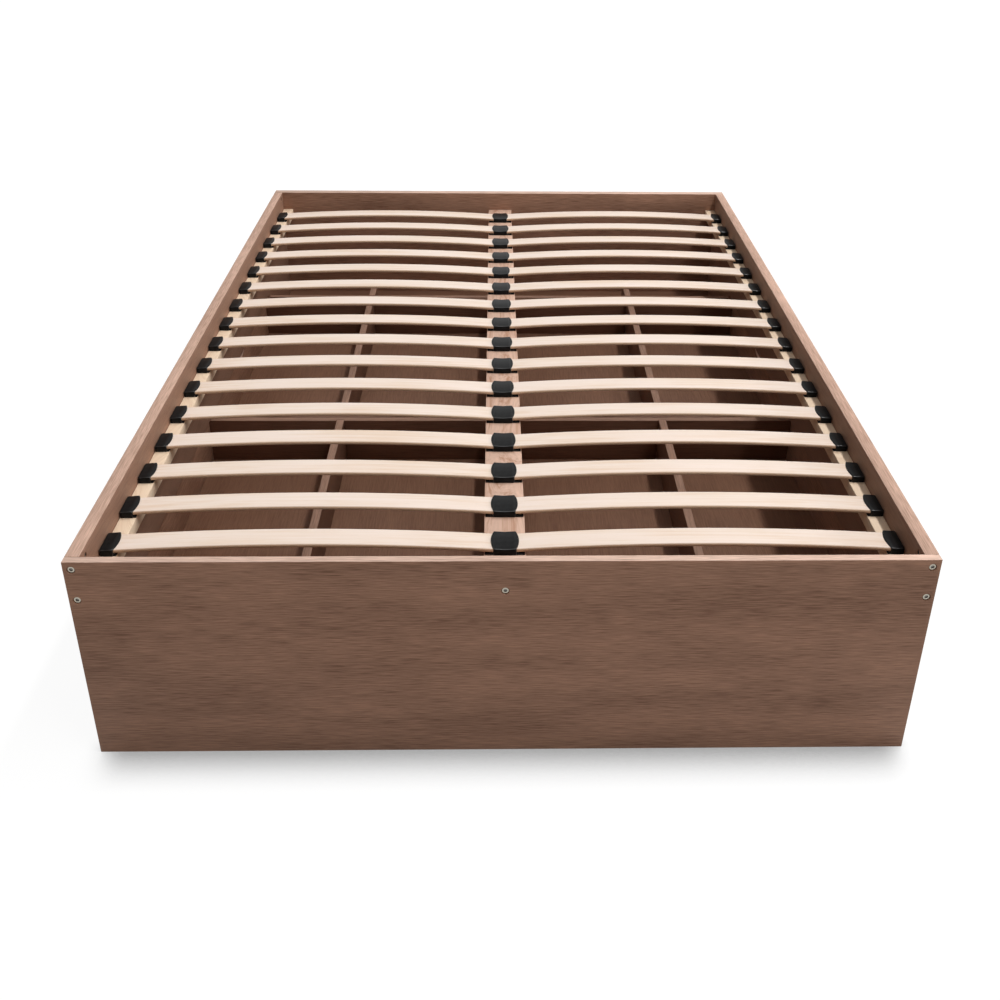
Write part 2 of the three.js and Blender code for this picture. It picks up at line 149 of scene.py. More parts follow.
# Drawers.
GRIP_WIDTH = 150 * MM
GRIP_DEPTH = 24 * MM
GRIP_STEPS = 48
WALL_THICKNESS = 18 * MM
HOUSING_DEPTH = 6 * MM
BOTTOM_THICKNESS = 9 * MM
CASTOR_INSET = 65 * MM
CASTOR_FLOOR_GAP = 0.5 * MM
WHEEL_RADIUS = 25 * MM
WHEEL_WIDTH = 20 * MM
WHEEL_POINTS = 64
TREAD_CURVE = 3.5 * MM
TREAD_STEPS = 6
RIM_RADIUS = 19.5 * MM
RIM_EDGE = 0.8 * MM
HUB_RADIUS = 8 * MM
HUB_EDGE = 0.6 * MM
DISH_DEPTH = 3.2 * MM
CHEEK_GAP = 1.5 * MM
CHEEK_THICKNESS = 3 * MM
CHEEK_FOOT = 9 * MM
CHEEK_STEPS = 12
CHEEK_ARRIS = 0.5 * MM
PLATE_THICKNESS = 3 * MM
PLATE_MARGIN = 8 * MM
PLATE_ARRIS = 0.8 * MM
AXLE_RADIUS = 4 * MM
AXLE_CLEARANCE = 0.2 * MM
AXLE_EDGE = 0.6 * MM

# The lamps, in metres and watts: the place, what it aims at, the two sizes and the power. A long
# strip hangs high over the right side, and broad lamps stand above, to the right and in front.
LAMPS = {
    "strip": ((3.2, 0.3, 9.2), (0, 0.3, 0.4), 11.4, 0.6, 680),
    "top": ((0, 0.3, 6.0), (0, 0.3, 0), 5.0, 8.0, 36),
    "side_fill": ((10.5, 0.6, 2.8), (0, 0.2, 0.3), 5.0, 2.5, 410),
    "front_fill": ((2.0, -7.2, 2.2), (0, -0.9, 0.3), 3.5, 2.0, 37),
}
STRIP_PASSES = ("centre_rail_strip", "centre_support_panel_board")
AMBIENT = 0.2

# The floor, in metres and shares of full light. A pair is where a change starts and where it ends.
FLOOR_REACH = 30
FLOOR_GREY = (0.5, 0.5, 0.5, 1)
FLOOR_GREY_SEEN = (0.12, 0.12, 0.12, 1)
UNDER_BED_X = (0.70, 0.72)
UNDER_BED_Y = (1.00, 1.02)
# FOOT_SHADE and the contact values paint a shadow into the floor's glow in front of the foot panel,
# from ambient occlusion.
FOOT_SHADE_X = (0.77, 0.68)
FOOT_SHADE_Y = (-0.98, -1.03)
CONTACT_REACH = 0.1
CONTACT_SAMPLES = 6
CONTACT_OPEN = (0.45, 1.0)
CONTACT_GLOW = 0.25
FADE_REACH = (1.7, 3.6)
FADE_GLOW = (0.93, 1.0)

RING_POINTS = 48
SMOOTH_ANGLE = math.radians(32)


# Mesh helpers.


def ring(radius, height, count=RING_POINTS, corners=0):
    """Points on a circle about Z, or on a polygon with that inner radius if it has corners."""
    points = []
    for i in range(count):
        angle = 2 * math.pi * i / count
        reach = radius
        if corners:
            part = 2 * math.pi / corners
            reach = radius / math.cos((angle % part) - part / 2)
        points.append(Vector((reach * math.cos(angle), reach * math.sin(angle), height)))
    return points


def loft(rings):
    """A closed surface through rings of as many points each, with its two ends filled."""
    made = bmesh.new()
    loops = [[made.verts.new(point) for point in points] for points in rings]
    for lower, upper in zip(loops, loops[1:]):
        for i in range(len(lower)):
            j = (i + 1) % len(lower)
            made.faces.new((lower[i], lower[j], upper[j], upper[i]))
    made.faces.new(loops[0])
    made.faces.new(loops[-1])
    bmesh.ops.recalc_face_normals(made, faces=made.faces)
    return made


def on_axis(axis, u, v, w):
    """The point (u, v) of an outline at depth w, for a board that is thick along the axis."""
    return {"X": (w, u, v), "Y": (u, w, v), "Z": (u, v, w)}[axis]


def prism(outline, axis, low, high, arris=ARRIS, segments=ARRIS_STEPS):
    """An outline made into a board between two depths, with its sharp edges rounded."""
    rings = [[Vector(on_axis(axis, u, v, w)) for u, v in outline] for w in (low, high)]
    made = loft(rings)
    if arris:
        sharp = [e for e in made.edges if e.calc_face_angle(0) > SMOOTH_ANGLE]
        bmesh.ops.bevel(
            made, geom=sharp, offset=arris, segments=segments, profile=0.5,
            affect="EDGES", clamp_overlap=True,
        )
    return made


def cylinder(radius, low, high):
    return loft([ring(radius, low), ring(radius, high)])


def rectangle(low_u, low_v, high_u, high_v):
    return [(low_u, low_v), (high_u, low_v), (high_u, high_v), (low_u, high_v)]


def join(meshes):
    """Several loose meshes as one."""
    joined = bmesh.new()
    for part in meshes:
        loose = bpy.data.meshes.new("loose")
        part.to_mesh(loose)
        part.free()
        joined.from_mesh(loose)
        bpy.data.meshes.remove(loose)
    return joined


def make_object(name, made, material, place=(0, 0, 0)):
    """A piece of a mesh and a material, in the scene."""
    mesh = bpy.data.meshes.new(name)
    made.to_mesh(mesh)
    made.free()
    mesh.materials.append(material)
    piece = bpy.data.objects.new(name, mesh)
    piece.location = place
    bpy.context.collection.objects.link(piece)
    smooth(piece)
    return piece


def smooth(piece):
    mesh = piece.data
    mesh.shade_smooth()
    mesh.set_sharp_from_angle(angle=SMOOTH_ANGLE)


def linked_copy(piece, name):
    """Another object with a piece's mesh, in the same place."""
    copy = bpy.data.objects.new(name, piece.data)
    bpy.context.collection.objects.link(copy)
    copy.matrix_world = piece.matrix_world
    return copy


def upright(place, direction):
    """The place of a thing made about Z that stands on a point and faces a direction."""
    turn = direction.to_track_quat("Z", "Y").to_matrix().to_4x4()
    return Matrix.Translation(place) @ turn


def near_and_far(low, high):
    """A box's two distances from the middle plane of the bed, the nearer one first."""
    return sorted((abs(low.x), abs(high.x)))


def combine(piece, other_mesh, operation):
    """A boolean step between a piece and a mesh that lies in the piece's own frame."""
    other = make_object(piece.name + "_other", other_mesh, piece.data.materials[0])
    other.matrix_world = piece.matrix_world
    step = piece.modifiers.new("step", "BOOLEAN")
    step.operation = operation
    step.solver = "EXACT"
    step.object = other
    depsgraph = bpy.context.evaluated_depsgraph_get()
    combined = bpy.data.meshes.new_from_object(piece.evaluated_get(depsgraph))
    piece.modifiers.clear()
    piece.data = combined
    bpy.data.objects.remove(other)
    smooth(piece)


def carve(piece, cutter_mesh):
    """Cuts the solids of a mesh out of a piece."""
    combine(piece, cutter_mesh, "DIFFERENCE")


def unite(piece, added_mesh):
    """Makes one solid of a piece and a mesh."""
    combine(piece, added_mesh, "UNION")


def settle(piece, body, replaced=()):
    """Puts a finished piece on its body, for the nodes that it replaces."""
    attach(piece, body)
    if replaced:
        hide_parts(*replaced)


# Materials.


class Graph:
    """A material's nodes, added and linked in one call."""

    def __init__(self, name):
        self.material = bpy.data.materials.new(name)
        self.material.use_nodes = True
        self.tree = self.material.node_tree
        self.shader = self.tree.nodes["Principled BSDF"]

    def add(self, kind, inputs=None, **settings):
        node = self.tree.nodes.new(kind)
        for key, value in settings.items():
            setattr(node, key, value)
        for key, value in (inputs or {}).items():
            self.set(node.inputs[key], value)
        return node

    def set(self, socket, value):
        if isinstance(value, bpy.types.NodeSocket):
            self.tree.links.new(value, socket)
        else:
            socket.default_value = value

    def math(self, operation, first, second=0.0):
        return self.add("ShaderNodeMath", {0: first, 1: second}, operation=operation).outputs[0]

    def sum_of(self, *shares):
        """Values added up, each times its share."""
        parts = [self.math("MULTIPLY", value, share) for value, share in shares]
        total = parts[0]
        for part in parts[1:]:
            total = self.math("ADD", total, part)
        return total

    def noise(self, vector, detail=2.0, roughness=0.5):
        inputs = {"Vector": vector, "Scale": 1.0, "Detail": detail, "Roughness": roughness}
        return self.add("ShaderNodeTexNoise", inputs).outputs["Fac"]

    def grain(self, vector, axis, fineness, detail=2.0, roughness=0.5, offset=(0, 0, 0)):
        """Noise drawn out along an axis, with its fineness along that axis and then across it."""
        along, across = fineness
        scale = tuple(along if axis == letter else across for letter in "XYZ")
        inputs = {"Vector": vector, "Scale": scale, "Location": offset}
        stretched = self.add("ShaderNodeMapping", inputs).outputs["Vector"]
        return self.noise(stretched, detail, roughness)

    def speckle(self, vector, fineness, detail=2.0):
        """Noise that is as fine in all directions."""
        return self.grain(vector, "X", (fineness, fineness), detail)

    def ramp(self, factor, stops):
        node = self.add("ShaderNodeValToRGB", {"Fac": factor})
        elements = node.color_ramp.elements
        while len(elements) < len(stops):
            elements.new(0.5)
        for element, (position, colour) in zip(elements, stops):
            element.position = position
            element.color = (*colour, 1)
        return node.outputs["Color"]

    def three_tones(self, value, dark, middle, light):
        """Tones for a value that lies round a half."""
        return self.ramp(value, [(0.36, dark), (0.5, middle), (0.64, light)])

    def mix(self, factor, first, second):
        node = self.add("ShaderNodeMix", data_type="RGBA")
        self.set(node.inputs["Factor"], factor)
        self.set(node.inputs[6], first)
        self.set(node.inputs[7], second)
        return node.outputs[2]

    def blend_between(self, value, start, end):
        """Zero at the start and one at the end, with a smooth change between."""
        limits = {"Value": value, "From Min": start, "From Max": end}
        node = self.add("ShaderNodeMapRange", limits, interpolation_type="SMOOTHSTEP")
        return node.outputs["Result"]

    def spread(self, value, low, high):
        """The low number where the value is zero and the high one where it is one."""
        node = self.add("ShaderNodeMapRange", {"Value": value, "To Min": low, "To Max": high})
        return node.outputs["Result"]

    def surface(self, colour, roughness, height, depth, shine=0.5):
        """Links what the surface looks like, with bumps of a depth where the height changes."""
        inputs = self.shader.inputs
        self.set(inputs["Base Color"], colour)
        self.set(inputs["Roughness"], roughness)
        self.set(inputs["Specular IOR Level"], shine)
        bumps = self.add("ShaderNodeBump", {"Height": height, "Distance": depth, "Strength": 1.0})
        self.set(inputs["Normal"], bumps.outputs["Normal"])


def srgb(red, green, blue):
    """A colour as a screen shows it, from 0 to 255, in the light values that shaders take."""
    def linear(level):
        share = level / 255
        return share / 12.92 if share <= 0.04045 else ((share + 0.055) / 1.055) ** 2.4
    return (linear(red), linear(green), linear(blue))


def shade(colour, factor):
    return tuple(channel * factor for channel in colour)


def shade_each(colour, factors):
    """A colour with a factor for each channel, none of which goes past full."""
    return tuple(min(channel * factor, 1) for channel, factor in zip(colour, factors))


def veneer(name, axis, base, contrast=1.0, gloss=0.5, shine=0.2):
    """Wood-effect foil: fine lines and fainter streaks along an axis, broad clouds and pores."""
    graph = Graph(name)
    place = graph.add("ShaderNodeTexCoord").outputs["Object"]
    lines = graph.grain(place, axis, (22, 560), detail=2.5, roughness=0.6)
    streaks = graph.grain(place, axis, (9, 120), detail=3, roughness=0.6)
    clouds = graph.grain(place, axis, (4, 18))
    pores = graph.grain(place, axis, (60, 1100), detail=1)
    weave = graph.sum_of((lines, 0.66), (streaks, 0.04), (clouds, 0.3))
    dark = shade_each(base, [1 - loss * contrast for loss in (0.34, 0.38, 0.41)])
    light = shade(base, 1 + 0.3 * contrast)
    tone = graph.three_tones(weave, dark, base, light)
    dashes = graph.math("GREATER_THAN", pores, 0.66)
    dash_share = graph.math("MULTIPLY", dashes, 0.14 * contrast)
    colour = graph.mix(dash_share, tone, (*shade(base, 0.45), 1))
    rough = graph.spread(lines, gloss - 0.06, gloss + 0.12)
    height = graph.math("SUBTRACT", lines, graph.math("MULTIPLY", dashes, 0.4))
    graph.surface(colour, rough, height, 0.12 * MM, shine)
    return graph.material


def birch_slat(base, edge, glue):
    """Laminated birch: pale faces with faint streaks, and plies that show on the long edges."""
    graph = Graph("laminated_birch")
    place = graph.add("ShaderNodeTexCoord").outputs["Object"]
    seed = graph.add("ShaderNodeAttribute", attribute_name="seed").outputs["Fac"]
    offset = graph.add("ShaderNodeCombineXYZ", {"X": seed, "Y": seed, "Z": seed}).outputs[0]
    streaks = graph.grain(place, "X", (3.5, 170), 4, 0.6, offset)
    broad = graph.grain(place, "X", (5, 26), offset=offset)
    flecks = graph.grain(place, "X", (60, 700), detail=1, offset=offset)
    blend = graph.sum_of((streaks, 0.55), (broad, 0.45))
    dark, light = shade_each(base, (0.93, 0.87, 0.79)), shade_each(base, (1.03, 1.05, 1.09))
    face = graph.three_tones(blend, dark, base, light)
    spots = graph.math("MULTIPLY", graph.math("GREATER_THAN", flecks, 0.69), 0.14)
    face = graph.mix(spots, face, (*shade(base, 0.62), 1))

    # How far up through the thickness a point lies, from its distance to the bow's centre.
    parts = graph.add("ShaderNodeSeparateXYZ", {"Vector": place}).outputs
    drop = graph.math("SUBTRACT", parts["Z"], BOW_CENTRE)
    squares = graph.sum_of((parts["X"], parts["X"]), (drop, drop))
    level = graph.math("SUBTRACT", graph.math("SQRT", squares), BOW_RADIUS)
    ply = graph.math("MULTIPLY", level, PLIES / SLAT_THICKNESS)
    within = graph.math("FRACT", ply)
    joint = graph.math("LESS_THAN", within, 0.16)
    turned = graph.math("PINGPONG", ply, 1.0)
    grains = graph.grain(place, "X", (260, 900), offset=offset)
    tint = graph.sum_of((turned, 0.5), (grains, 0.5))
    rim = graph.ramp(tint, [(0.3, shade(edge, 0.78)), (0.7, shade(edge, 1.14))])
    rim = graph.mix(graph.math("MULTIPLY", joint, 0.75), rim, (*glue, 1))
    normal = graph.add("ShaderNodeNewGeometry").outputs["True Normal"]
    across = graph.add(
        "ShaderNodeVectorTransform", {"Vector": normal}, vector_type="NORMAL",
        convert_from="WORLD", convert_to="OBJECT",
    ).outputs[0]
    lean = graph.add("ShaderNodeSeparateXYZ", {"Vector": across}).outputs["Y"]
    lean = graph.math("ABSOLUTE", lean)
    on_edge = graph.add("ShaderNodeMapRange", {"Value": lean, "From Min": 0.45, "From Max": 0.8})
    colour = graph.mix(on_edge.outputs["Result"], face, rim)
    graph.surface(colour, graph.spread(streaks, 0.38, 0.52), streaks, 0.08 * MM, 0.4)
    return graph.material


def solid_wood(name, base, contrast):
    """A sawn and planed strip, with a grain along Y that bends, fans out and closes up."""
    graph = Graph(name)
    place = graph.add("ShaderNodeTexCoord").outputs["Object"]
    bent = graph.grain(place, "Y", (2.4, 9), detail=1)
    shift = graph.add("ShaderNodeCombineXYZ", {"X": bent, "Z": bent}).outputs[0]
    sway = graph.add("ShaderNodeVectorMath", {0: shift, "Scale": 4 * MM}, operation="SCALE")
    # Only the place across the strip counts, at a scale that changes slowly along it.
    terms = {0: place, 1: shift, 2: sway.outputs[0]}
    moved = graph.add("ShaderNodeVectorMath", terms, operation="MULTIPLY_ADD")
    lines = graph.grain(moved.outputs[0], "Y", (4, 300), detail=4, roughness=0.62)
    bands = graph.grain(moved.outputs[0], "Y", (1.2, 70), detail=3)
    blend = graph.sum_of((lines, 0.45), (bands, 0.55))
    dark = shade_each(base, [1 - loss * contrast for loss in (0.22, 0.34, 0.42)])
    light = shade(base, 1 + 0.12 * contrast)
    colour = graph.three_tones(blend, dark, base, light)
    graph.surface(colour, graph.spread(lines, 0.5, 0.66), lines, 0.15 * MM, 0.35)
    return graph.material


def moulded_plastic(name, base, gloss, shine, highlight_edge_shine):
    """Moulded plastic: fine grain, slight clouds, and extra shine on the rounded edges along X, so
    that they catch a highlight line there.
    """
    graph = Graph(name)
    place = graph.add("ShaderNodeTexCoord").outputs["Object"]
    grain = graph.speckle(place, 2600)
    clouds = graph.speckle(place, 90)
    colour = graph.ramp(clouds, [(0.35, shade(base, 0.8)), (0.65, shade(base, 1.3))])
    # The rounded edges along X alone get more shine, so that they show a highlight line.
    normal = graph.add("ShaderNodeTexCoord").outputs["Normal"]
    lean = graph.add("ShaderNodeSeparateXYZ", {"Vector": normal}).outputs["Y"]
    lean = graph.math("ABSOLUTE", lean)
    past_roof = graph.blend_between(lean, 0.2, 0.35)
    short_of_front = graph.blend_between(lean, 0.92, 0.8)
    rounded = graph.math("MULTIPLY", past_roof, short_of_front)
    rough = graph.spread(clouds, gloss - 0.06, gloss + 0.08)
    graph.surface(colour, rough, grain, 0.03 * MM, graph.spread(rounded, shine, highlight_edge_shine))
    return graph.material


def steel(name, base, gloss):
    """Zinc-plated steel, slightly uneven."""
    graph = Graph(name)
    place = graph.add("ShaderNodeTexCoord").outputs["Object"]
    spots = graph.speckle(place, 700, detail=3)
    colour = graph.ramp(spots, [(0.35, shade(base, 0.82)), (0.65, base)])
    graph.set(graph.shader.inputs["Metallic"], 1.0)
    graph.surface(colour, graph.spread(spots, gloss - 0.08, gloss + 0.1), spots, 0.03 * MM)
    return graph.material


# Colours, the dark ones and the metals as light values.
BOARD = srgb(157, 118, 96)
# BOARD_INSIDE_SHADED is the board colour made a little darker, painted shade for the side panels'
# inner faces inside the bed.
BOARD_INSIDE_SHADED = srgb(146, 112, 93)
# END_BAND_AND_TOP_LIGHT and SIDE_BAND_AND_TOP_LIGHT are lighter than BOARD, partly as edge bands
# and partly as painted light and sheen from above.
END_BAND_AND_TOP_LIGHT = srgb(218, 186, 168)
SIDE_BAND_AND_TOP_LIGHT = srgb(207, 172, 153)
INNER_BOARD = srgb(140, 103, 82)
INNER_WALL = srgb(119, 85, 67)
# INNER_BAND_AND_TOP_LIGHT is lighter than INNER_WALL, partly as the boards' edges and partly as
# painted light on their tops.
INNER_BAND_AND_TOP_LIGHT = srgb(176, 140, 120)
RAIL = srgb(212, 176, 155)
BEARER = srgb(241, 216, 188)
SLAT = srgb(247, 227, 211)
SLAT_EDGE = srgb(226, 190, 158)
SLAT_GLUE = srgb(120, 86, 62)
NYLON = (0.009, 0.0092, 0.0094)
CASTOR = (0.03, 0.03, 0.032)
TREAD = (0.09, 0.09, 0.09)
ZINC = (0.46, 0.43, 0.36)
DARK_STEEL = (0.16, 0.15, 0.14)

board = {axis: veneer("board_" + axis.lower(), axis, BOARD, 1.2) for axis in "XY"}
board_inside_shaded = veneer("board_inside_y", "Y", BOARD_INSIDE_SHADED, 0.6)
# The top faces get these lighter colours, which are in part painted light from above.
edge_band_and_top_light = {
    "X": veneer("end_band", "X", END_BAND_AND_TOP_LIGHT, contrast=1.0, gloss=0.6, shine=0.1),
    "Y": veneer("side_band", "Y", SIDE_BAND_AND_TOP_LIGHT, contrast=0.75, gloss=0.65, shine=0.03),
}
inner_board = {axis: veneer("inner_board_" + axis.lower(), axis, INNER_BOARD, 0.6) for axis in "XY"}
inner_wall = {axis: veneer("inner_wall_" + axis.lower(), axis, INNER_WALL, 0.6) for axis in "XY"}
inner_band_and_top_light = {axis: veneer("inner_band_" + axis.lower(), axis, INNER_BAND_AND_TOP_LIGHT, 0.8) for axis in "XY"}
rail_wood = solid_wood("rail_wood", RAIL, contrast=1.4)
bearer_wood = solid_wood("bearer_wood", BEARER, contrast=0.5)
slat_wood = birch_slat(SLAT, SLAT_EDGE, SLAT_GLUE)
black_nylon = moulded_plastic("black_nylon", NYLON, gloss=0.3, shine=0.07, highlight_edge_shine=0.7)
castor_plastic = moulded_plastic("castor_plastic", CASTOR, gloss=0.5, shine=0.4, highlight_edge_shine=0.4)
wheel_tread = moulded_plastic("wheel_tread", TREAD, gloss=0.62, shine=0.4, highlight_edge_shine=0.4)
zinc = steel("zinc", ZINC, gloss=0.34)
dark_steel = steel("dark_steel", DARK_STEEL, gloss=0.42)


# The frame's four boards.


def face_material(piece, material, chosen):
    """Gives a second material to the faces that the test picks."""
    piece.data.materials.append(material)
    index = len(piece.data.materials) - 1
    for face in piece.data.polygons:
        if chosen(face):
            face.material_index = index


def is_top(high):
    """A test for the faces of a board's top edge, up to that height."""
    return lambda face: face.normal.z > 0.5 and face.center.z > high - 2 * ARRIS


def screw_places():
    """Where the screws sit in each end board, as (x, z)."""
    places = [(sign * SCREW_X, z) for sign in SIDES.values() for z in SCREW_HEIGHTS]
    return places + [(0.0, MIDDLE_SCREW_HEIGHT)]


def screw_head():
    """A sunk screw head about Z with its top at Z = 0 and a hexagonal socket."""
    depth = SCREW_HOLE_DEPTH - SCREW_SINK - SCREW_HOLE_FLOOR_GAP
    return loft([
        ring(SCREW_RADIUS * SCREW_TIP_SHARE, -depth),
        ring(SCREW_RADIUS, -depth * SCREW_FLANK_SHARE),
        ring(SCREW_RADIUS, -SCREW_EDGE),
        ring(SCREW_RADIUS - SCREW_EDGE_CURVE, -SCREW_EDGE_CURVE),
        ring(SCREW_RADIUS - SCREW_EDGE, 0),
        ring(SOCKET_RADIUS + SOCKET_LIP, SOCKET_RISE, corners=6),
        ring(SOCKET_RADIUS, -SOCKET_LIP_DEPTH, corners=6),
        ring(SOCKET_RADIUS, -SOCKET_DEPTH, corners=6),
    ])


def is_socket(face):
    """A test for the faces in a screw head's socket, which are given dark steel as painted shade in
    the recess.
    """
    away = math.hypot(face.center.x, face.center.y)
    return face.center.z < -SOCKET_LIP_DEPTH / 2 and away < SOCKET_RADIUS + SOCKET_MARGIN


def make_slotted_head(name, radius, depth, slot_width, slot_depth):
    """A round head about Z with its top at Z = 0 and a straight slot."""
    head = loft([ring(radius, -depth), ring(radius, -HEAD_EDGE), ring(radius - HEAD_EDGE, 0)])
    half = slot_width / 2
    slot = prism(rectangle(-2 * radius, -half, 2 * radius, half), "Z", -slot_depth, CUT_OVERRUN, 0)
    piece = make_object(name, head, dark_steel)
    carve(piece, slot)
    return piece


def make_end_board(name, outward):
    """The foot or head panel, with five sunk screws in its outer face."""
    low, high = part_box(name)
    made = prism(rectangle(low.x, low.z, high.x, high.z), "Y", low.y, high.y)
    piece = make_object(name + "_board", made, board["X"])
    outer = low.y if outward < 0 else high.y
    cutters = []
    for x, z in screw_places():
        hole = cylinder(SCREW_HOLE_RADIUS, -CUT_OVERRUN, SCREW_HOLE_DEPTH)
        hole.transform(upright((x, outer, z), Vector((0, -outward, 0))))
        cutters.append(hole)
    if name == "head_panel":
        floor_low, floor_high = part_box("head_bay_floor")
        groove = rectangle(
            floor_low.x - SEAT_GAP, floor_low.z - SEAT_GAP,
            floor_high.x + SEAT_GAP, floor_high.z + SEAT_GAP,
        )
        cutters.append(prism(groove, "Y", low.y - CUT_OVERRUN, floor_high.y + SEAT_GAP, 0))
    carve(piece, join(cutters))
    # The top edge gets the lighter colour, in part painted light.
    face_material(piece, edge_band_and_top_light["X"], is_top(high.z))
    settle(piece, "base", [name])
    first = make_object(name + "_screw_0", screw_head(), zinc)
    # The socket's faces are painted dark steel, as shade in the recess.
    face_material(first, dark_steel, is_socket)
    for number, (x, z) in enumerate(screw_places()):
        screw = linked_copy(first, name + "_screw_%d" % number) if number else first
        seat = (x, outer - outward * SCREW_SINK, z)
        screw.matrix_world = upright(seat, Vector((0, outward, 0)))
        settle(screw, "base")


def make_board(name, body, grain, banded=True):
    """A plain board in place of its node, with rounded arrises and, if banded, a pale band on its
    top edge that is in part painted light from above.
    """
    low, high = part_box(name)
    made = prism(rectangle(low.x, low.y, high.x, high.y), "Z", low.z, high.z)
    material = inner_wall[grain] if banded else inner_board[grain]
    piece = make_object(name + "_board", made, material)
    if banded:
        face_material(piece, inner_band_and_top_light[grain], is_top(high.z))
    settle(piece, body, [name])


def make_side_panel(side, sign):
    """A side panel: a bridge over the drawers, with a barrel nut near each end, on its inside."""
    name = side + "_side_panel"
    low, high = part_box(name)
    fronts = [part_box(side + "_" + end + "_drawer_front") for end in DRAWER_ENDS]
    gap = fronts[1][0].y - fronts[0][1].y
    start, end = fronts[0][0].y - gap, fronts[1][1].y + gap
    top = fronts[0][1].z + gap
    outline = [
        (low.y, low.z), (start, low.z), (start, top), (end, top),
        (end, low.z), (high.y, low.z), (high.y, high.z), (low.y, high.z),
    ]
    piece = make_object(name + "_board", prism(outline, "X", low.x, high.x), board["Y"])
    inner = low.x if sign > 0 else high.x
    places = [low.y + NUT_INSET, high.y - NUT_INSET]
    holes = []
    for y in places:
        hole = cylinder(NUT_RADIUS + NUT_HOLE_GAP, -CUT_OVERRUN, NUT_HOLE_DEPTH)
        hole.transform(upright((inner, y, SCREW_HEIGHTS[0]), Vector((sign, 0, 0))))
        holes.append(hole)
    carve(piece, join(holes))
    # The top edge gets the lighter colour, in part painted light.
    face_material(piece, edge_band_and_top_light["Y"], is_top(high.z))
    # The inner face gets the darker copy of the board, as painted shade.
    face_material(piece, board_inside_shaded, lambda face: abs(face.center.x - inner) < ARRIS / 2)
    settle(piece, "base", [name])
    for number, y in enumerate(places, start=1):
        nut = make_slotted_head(side + "_barrel_nut_%d" % number, NUT_RADIUS, NUT_DEPTH, *NUT_SLOT)
        seat = (inner + sign * NUT_SINK, y, SCREW_HEIGHTS[0])
        nut.matrix_world = upright(seat, Vector((-sign, 0, 0)))
        settle(nut, "base")


# Slats and the caps that hold them.


def slat_section(growth):
    """A slat's rounded cross-section as (y, height over its underside), enlarged by the growth."""
    across = SLAT_WIDTH / 2 + growth - SLAT_CORNER
    top = SLAT_THICKNESS + growth - SLAT_CORNER
    low = SLAT_CORNER - growth
    middles = [(across, top), (-across, top), (-across, low), (across, low)]
    section = []
    for number, (y, up) in enumerate(middles):
        for step in range(SLAT_CORNER_STEPS + 1):
            angle = math.pi / 2 * (number + step / SLAT_CORNER_STEPS)
            section.append((y + SLAT_CORNER * math.cos(angle), up + SLAT_CORNER * math.sin(angle)))
    return section


def slat_rings(growth=0.0, end_growth=0.0):
    """Cross-sections of a bowed slat, from one end to the other, with its lower ends on Z = 0."""
    section = slat_section(growth)
    rings = []
    for step in range(SLAT_STEPS + 1):
        angle = BOW_ANGLE * (2 * step / SLAT_STEPS - 1)
        angle += (end_growth / BOW_RADIUS) * ((step == SLAT_STEPS) - (step == 0))
        sine, cosine = math.sin(angle), math.cos(angle)
        rings.append([
            Vector(((BOW_RADIUS + up) * sine, y, BOW_CENTRE + (BOW_RADIUS + up) * cosine))
            for y, up in section
        ])
    return rings


def pocket(x):
    """The space that a slat with its middle at x takes in a cap, a little larger all round."""
    space = loft(slat_rings(SEAT_GAP, POCKET_END_GAP))
    space.transform(Matrix.Translation((x, 0, SLAT_SEAT)))
    return space


def tongue_points(shoulder):
    """Half a plan: the arc from one shoulder over the tongue's tip to the other, towards +X."""
    radius = (CAP_HALF_WIDTH ** 2 + CAP_TONGUE ** 2) / (2 * CAP_TONGUE)
    spread = math.asin(CAP_HALF_WIDTH / radius)
    centre = shoulder + CAP_TONGUE - radius
    points = []
    for step in range(TONGUE_STEPS + 1):
        angle = spread * (2 * step / TONGUE_STEPS - 1)
        points.append((centre + radius * math.cos(angle), radius * math.sin(angle)))
    return points


def moulded_cap(plan, slope_at, reach):
    """A cap on its plan, with rounded edges and a roof that is lowered by slope_at(x)."""
    made = prism(plan, "Z", 0, CAP_HEIGHT, CAP_EDGE, CAP_EDGE_STEPS)
    for number in range(1, CAP_STRIPS):
        x = -reach + 2 * reach * number / CAP_STRIPS
        geometry = made.verts[:] + made.edges[:] + made.faces[:]
        bmesh.ops.bisect_plane(made, geom=geometry, plane_co=(x, 0, 0), plane_no=(1, 0, 0))
    for vertex in made.verts:
        vertex.co.z -= slope_at(vertex.co.x) * vertex.co.z / CAP_HEIGHT
    return made


def base_plate(x_from, x_to):
    """The thin plate that a cap stands on, between two places across its strip."""
    half_depth = BASE_PLATE_DEPTH / 2
    outline = rectangle(x_from, -half_depth, x_to, half_depth)
    return prism(outline, "Z", 0, BASE_PLATE_HEIGHT, BASE_PLATE_ARRIS)


def make_slats():
    for side in SIDES:
        for row in range(1, ROWS + 1):
            node = "slat_%s_%02d" % (side, row)
            low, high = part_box(node)
            place = Vector(((low.x + high.x) / 2, (low.y + high.y) / 2, low.z))
            slat = make_object("sprung_" + node, loft(slat_rings()), slat_wood, place)
            seeds = slat.data.attributes.new("seed", "FLOAT", "POINT")
            seed = row * ROW_SEED + SIDE_SEEDS[side]
            seeds.data.foreach_set("value", [seed] * len(slat.data.vertices))
            settle(slat, "base", [node])


def row_middles():
    """Where the rows of slats lie along the bed."""
    boxes = [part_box("slat_right_%02d" % row) for row in range(1, ROWS + 1)]
    return [(low.y + high.y) / 2 for low, high in boxes]


def slat_middle():
    """How far a slat's middle lies from the middle of the bed."""
    low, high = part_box("slat_right_01")
    return (low.x + high.x) / 2


